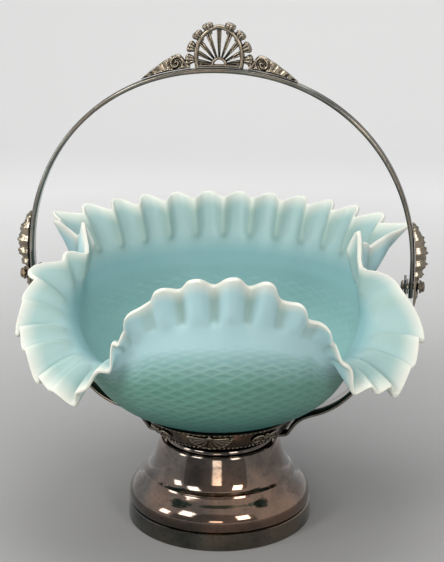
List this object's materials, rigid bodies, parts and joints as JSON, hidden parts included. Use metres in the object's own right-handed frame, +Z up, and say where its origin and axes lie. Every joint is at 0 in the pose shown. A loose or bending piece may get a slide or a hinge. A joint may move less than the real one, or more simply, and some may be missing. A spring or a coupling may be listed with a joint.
{
  "type": "brides basket",
  "caption": "Silver plated brides basket: round spun foot, cup with gallery border, curved side straps, swinging hoop handle with pierced fan crest, and a crimped satin glass bowl.",
  "frame": {"origin": "on the floor, on the axis of the round foot", "axes": "+Z up along the foot's axis; +X and -X point to the two pivots of the handle; -Y points to the arched front of the bowl"},
  "size_m": [0.2776, 0.2437, 0.3418],
  "materials": {
    "tarnished_plate": "polished silver plate with brown tarnish",
    "dark_plate": "dark tarnished silver plate",
    "cast_plate": "cast relief, dark in the hollows and warm on the high points",
    "bright_plate": "rubbed silver plate with a brassy tint",
    "satin_glass": "acid satin opalescent blue-green glass with a frosted white edge"
  },
  "bodies": {
    "stand": {"base_band": "dark_plate", "foot_shell": "tarnished_plate", "stem_drum": "tarnished_plate", "cup": "tarnished_plate", "centre_bolt": "dark_plate", "centre_nut": "dark_plate", "nut_washer": "dark_plate", "strap_left": "dark_plate", "strap_right": "dark_plate", "pivot_washer_left": "dark_plate", "pivot_washer_right": "dark_plate", "gallery_strip": "cast_plate", "fan_1": "cast_plate", "fan_2": "cast_plate", "fan_3": "cast_plate", "fan_4": "cast_plate", "scroll_1": "cast_plate", "scroll_2": "cast_plate", "scroll_3": "cast_plate", "scroll_4": "cast_plate"},
    "handle": {"bail": "dark_plate", "crest": "cast_plate", "wing_left": "cast_plate", "wing_right": "cast_plate", "leaf_left": "cast_plate", "leaf_right": "cast_plate", "pivot_pin_left": "bright_plate", "pivot_pin_right": "bright_plate"},
    "bowl": {"glass_bowl": "satin_glass"}
  },
  "joints": [
    {"name": "handle_swing", "type": "hinge", "parent": "stand", "child": "handle", "pos_m": [0, 0, 0.17], "axis": [1, 0, 0], "range_deg": [-40, 50]},
    {"name": "bowl_lift", "type": "slide", "parent": "stand", "child": "bowl", "axis": [0, 0, 1], "range_m": [0, 0.008]}
  ]
}
